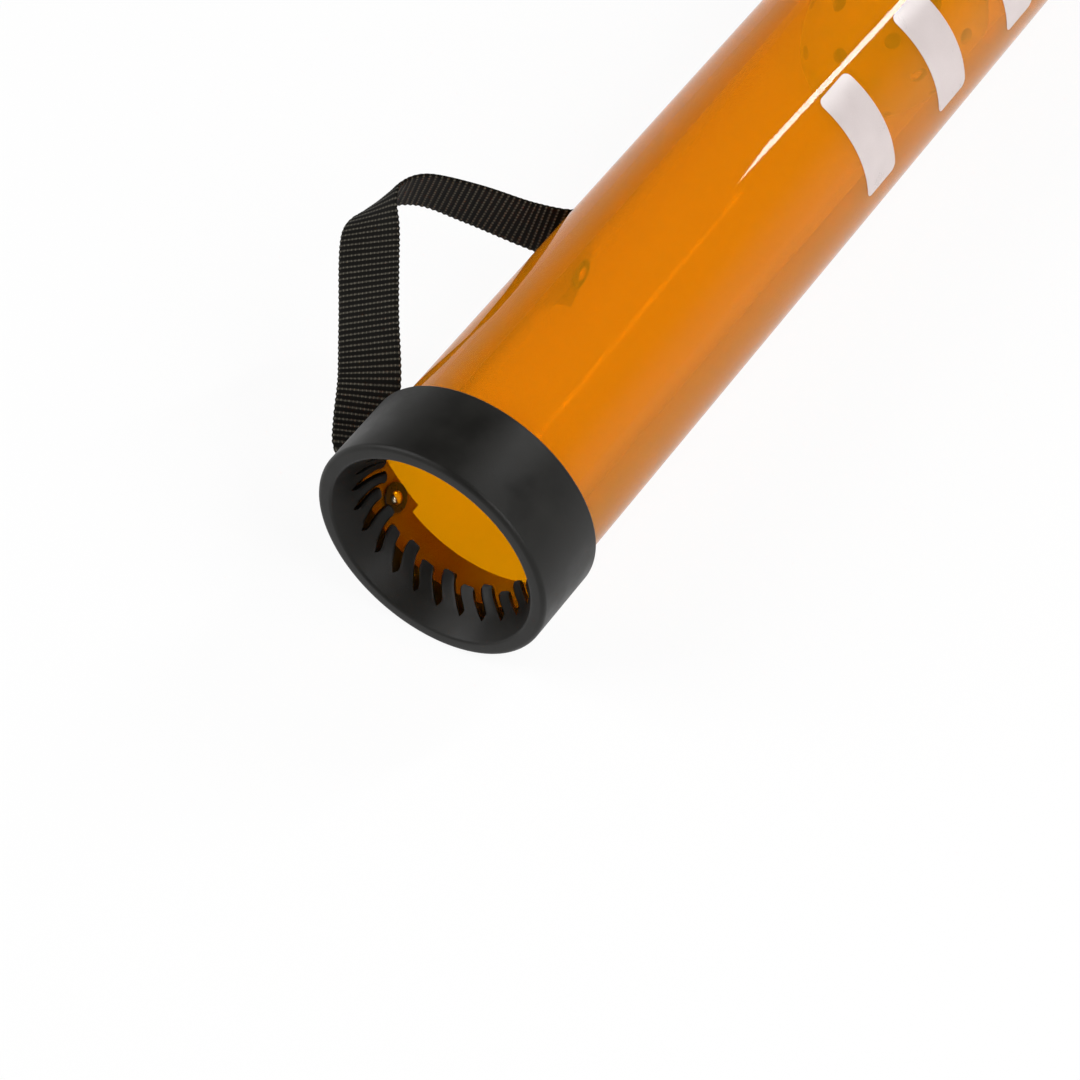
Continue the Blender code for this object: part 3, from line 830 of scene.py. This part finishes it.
def ball_drills():
    """Short rods through the ball's wall, spread evenly over it on a spiral."""
    bm = bmesh.new()
    for i in range(BALL_HOLES):
        height = 1 - (2 * i + 1) / BALL_HOLES
        ring = math.sqrt(1 - height * height)
        spiral = GOLDEN_ANGLE * i
        way = Vector((ring * math.cos(spiral), ring * math.sin(spiral), height))
        turn = way.to_track_quat("Z", "Y").to_matrix().to_4x4()
        bmesh.ops.create_cone(bm, cap_ends=True, segments=DRILL_SEGMENTS, depth=DRILL_DEPTH,
                              radius1=BALL_HOLE_RADIUS, radius2=BALL_HOLE_RADIUS,
                              matrix=Matrix.Translation(BALL_CENTRE + way * BALL_RADIUS) @ turn)
    return bm


def cut_away(piece, bm):
    """Cut a piece's mesh with another mesh, for good."""
    cutter = mesh_object("cutter", bm)
    boolean = piece.modifiers.new("cut", "BOOLEAN")
    boolean.object = cutter
    boolean.operation = "DIFFERENCE"
    shown = piece.evaluated_get(bpy.context.evaluated_depsgraph_get())
    result = bpy.data.meshes.new_from_object(shown)
    piece.modifiers.remove(boolean)
    piece.data = result
    bpy.data.objects.remove(cutter)


def make_ball():
    piece = finish_piece("ball_shell", ball_shell(BALL_RADIUS), BALL_PLASTIC, "loaded_ball",
                         "ball_plastic", "ball")
    cut_away(piece, ball_shell(BALL_RADIUS - BALL_WALL))
    cut_away(piece, ball_drills())
    piece.data.set_sharp_from_angle(angle=SHARP_ANGLE)


# Stage, lights and camera


def make_floor():
    """A pale floor that takes the object's shadow and otherwise shows nearly white."""
    material, tree, shader = new_material("pale_floor")
    shader.inputs["Base Color"].default_value = (0.88, 0.88, 0.88, 1.0)
    shader.inputs["Roughness"].default_value = 0.9
    shader.inputs["Specular IOR Level"].default_value = 0.0
    white = tree.nodes.new("ShaderNodeEmission")
    seen = tree.nodes.new("ShaderNodeLightPath")
    either = math_node(tree, "MAXIMUM", seen.outputs["Is Camera Ray"], seen.outputs["Is Glossy Ray"])
    either = math_node(tree, "MAXIMUM", either, seen.outputs["Is Transmission Ray"])
    share = math_node(tree, "MULTIPLY", either, FLOOR_WHITE_SHARE)
    show_mix(tree, share, shader.outputs["BSDF"], white.outputs["Emission"], "Material Output")
    bm = bmesh.new()
    bmesh.ops.create_grid(bm, x_segments=1, y_segments=1, size=FLOOR_SIZE)
    bmesh.ops.translate(bm, verts=bm.verts, vec=(0, MOUTH_Y / 2, FLOOR_Z))
    floor = mesh_object("floor", bm)
    floor.data.materials.append(material)


def make_world():
    """The sky lights the object. The camera, and clear pieces, see plain white behind it."""
    world = bpy.data.worlds.new("studio")
    world.use_nodes = True
    tree = world.node_tree
    sky = tree.nodes["Background"]
    sky.inputs["Color"].default_value = WHITE
    way = tree.nodes.new("ShaderNodeTexCoord")
    split = tree.nodes.new("ShaderNodeSeparateXYZ")
    tree.links.new(way.outputs["Generated"], split.inputs["Vector"])
    fade = map_range(tree, split.outputs["Z"], (0.0, SKY_FADES_AT), (SKY_AT_HORIZON, SKY_OVERHEAD))
    fade.interpolation_type = "SMOOTHSTEP"
    tree.links.new(fade.outputs["Result"], sky.inputs["Strength"])
    plain = tree.nodes.new("ShaderNodeBackground")
    plain.inputs["Color"].default_value = WHITE
    seen = tree.nodes.new("ShaderNodeLightPath")
    rays = [seen.outputs[ray] for ray in ("Is Camera Ray", "Is Transmission Ray")]
    either = math_node(tree, "MAXIMUM", *rays)
    show_mix(tree, either, sky.outputs["Background"], plain.outputs["Background"], "World Output")
    bpy.context.scene.world = world


def area_light(name, place, aim, width, length, power):
    lamp = bpy.data.lights.new(name, "AREA")
    lamp.shape = "RECTANGLE"
    lamp.size = width
    lamp.size_y = length
    lamp.energy = power
    light = bpy.data.objects.new(name, lamp)
    light.location = place
    light.rotation_mode = "QUATERNION"
    light.rotation_quaternion = (aim - place).to_track_quat("-Z", "Y")
    bpy.context.collection.objects.link(light)


def make_lights():
    aim = Vector((0.0, MOUTH_Y + LAMP_AIM_DEPTH, 0.0))
    for name, (place, width, length, power) in LAMPS.items():
        area_light(name, aim + place, aim, width, length, power)


def make_camera():
    data = bpy.data.cameras.new("camera")
    data.lens = CAMERA_LENS
    data.sensor_width = CAMERA_SENSOR
    data.clip_end = CAMERA_CLIP
    camera = bpy.data.objects.new("camera", data)
    azimuth = math.radians(CAMERA_AZIMUTH)
    elevation = math.radians(CAMERA_ELEVATION)
    level = math.cos(elevation)
    back = Vector((math.sin(azimuth) * level, -math.cos(azimuth) * level, math.sin(elevation)))
    camera.location = Vector((0.0, MOUTH_Y, 0.0)) + CAMERA_FROM_MOUTH
    camera.rotation_mode = "QUATERNION"
    camera.rotation_quaternion = (-back).to_track_quat("-Z", "Y")
    bpy.context.collection.objects.link(camera)
    bpy.context.scene.camera = camera


make_tube()
for bar in range(BAR_COUNT):
    make_bar(bar)
make_collar()
for finger in range(FINGER_COUNT):
    make_finger(finger)
make_strap()
make_rivet("lower", *LOWER_RIVET)
make_rivet("upper", *UPPER_RIVET)
make_cap()
make_ball()
make_floor()
make_world()
make_lights()
make_camera()
bpy.context.scene.view_settings.view_transform = "Standard"
